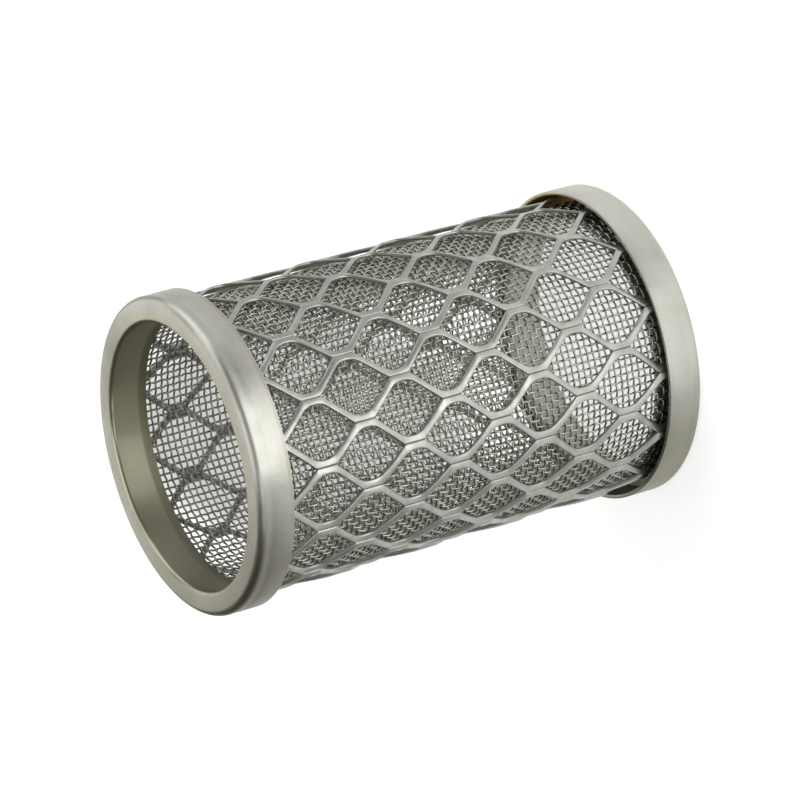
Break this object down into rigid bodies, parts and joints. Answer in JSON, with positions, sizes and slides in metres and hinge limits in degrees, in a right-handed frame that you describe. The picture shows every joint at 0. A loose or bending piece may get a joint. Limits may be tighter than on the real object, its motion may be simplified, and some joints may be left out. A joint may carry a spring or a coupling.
{
  "type": "strainer screen",
  "caption": "Cylindrical mesh filter screen: woven wire mesh inside a raised expanded metal sleeve, held between two pressed channel end rings, open at both ends.",
  "frame": {"origin": "centre of the lower end ring's face, on the tube's axis", "axes": "+Z along the tube's axis, from the lower ring to the upper ring; +X through a row of bonds of the expanded metal"},
  "size_m": [0.04, 0.04, 0.0635],
  "materials": {
    "ring_steel": "satin stainless sheet, lightly brushed round the band",
    "sleeve_steel": "dull rolled stainless with brighter sheared edges",
    "mesh_steel": "drawn stainless wire"
  },
  "bodies": {
    "root": {"lower_end_ring": "ring_steel", "upper_end_ring": "ring_steel", "support_sleeve": "sleeve_steel", "wire_mesh_sleeve": "mesh_steel"}
  },
  "joints": []
}
